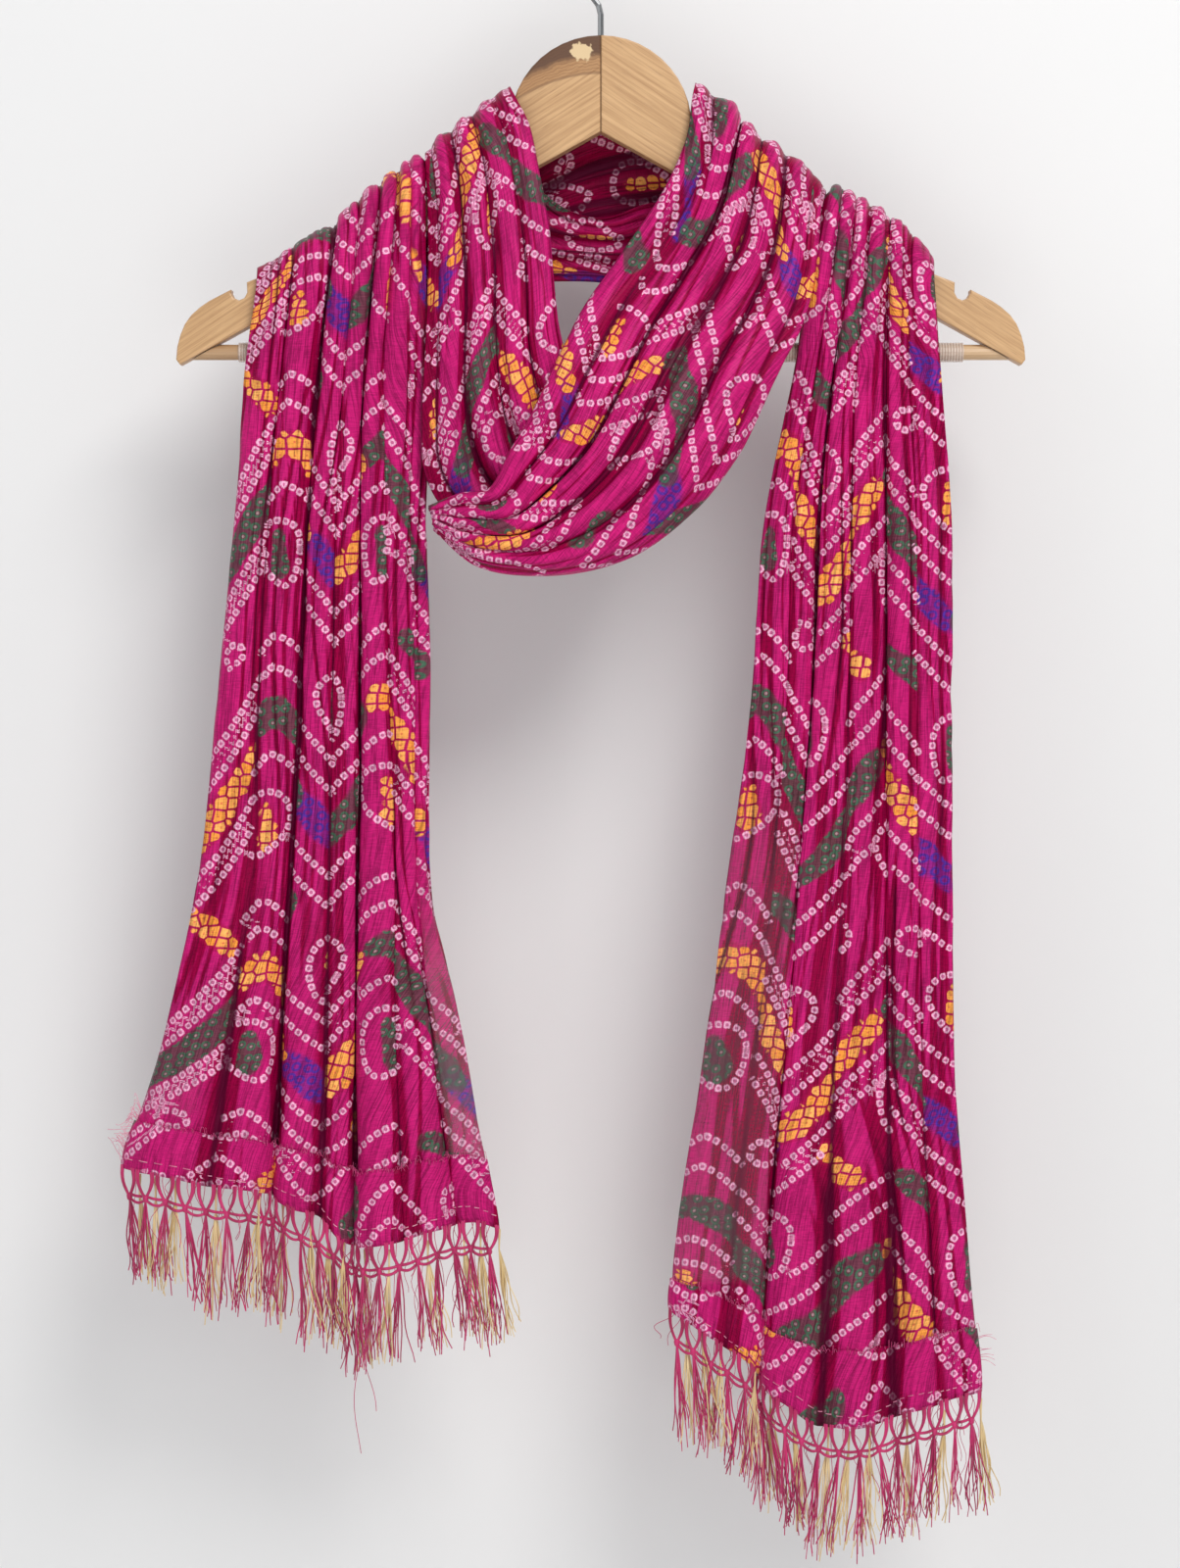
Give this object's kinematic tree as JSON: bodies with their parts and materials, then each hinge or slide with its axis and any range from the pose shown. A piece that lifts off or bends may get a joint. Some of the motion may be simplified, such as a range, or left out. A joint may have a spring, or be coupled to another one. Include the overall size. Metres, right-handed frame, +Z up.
{
  "type": "dupatta stole on a wooden hanger",
  "caption": "Crinkled tie-dyed stole looped once round a wooden hanger, with two hanging ends, turned-up hems and a knotted tassel fringe.",
  "frame": {"origin": "inside top of the hanger's hook, where it hangs on a rail", "axes": "+Z up along the hanging cloth, +X along the hanger's arms to the side of the longer end, +Y out of the back; the front faces -Y"},
  "size_m": [0.4756, 0.0909, 0.8798],
  "materials": {
    "cloth": "crinkled art silk, slightly sheer, magenta with a tie-dyed print",
    "trim": "twisted thread in magenta and cream gold",
    "wood": "light wood, clear satin lacquer",
    "sleeve": "clear ribbed tube",
    "wire": "drawn steel wire"
  },
  "bodies": {
    "root": {"tail_left": "cloth", "tail_right": "cloth", "cowl_front": "cloth", "cowl_left": "cloth", "wrap_near": "cloth", "wrap_far": "cloth", "hem_left": "cloth", "hem_right": "cloth", "fringe_left": "trim", "fringe_right": "trim", "hanger_half_left": "wood", "hanger_half_right": "wood", "hanger_bar": "wood", "bar_sleeve": "sleeve", "hook": "wire"}
  },
  "joints": []
}
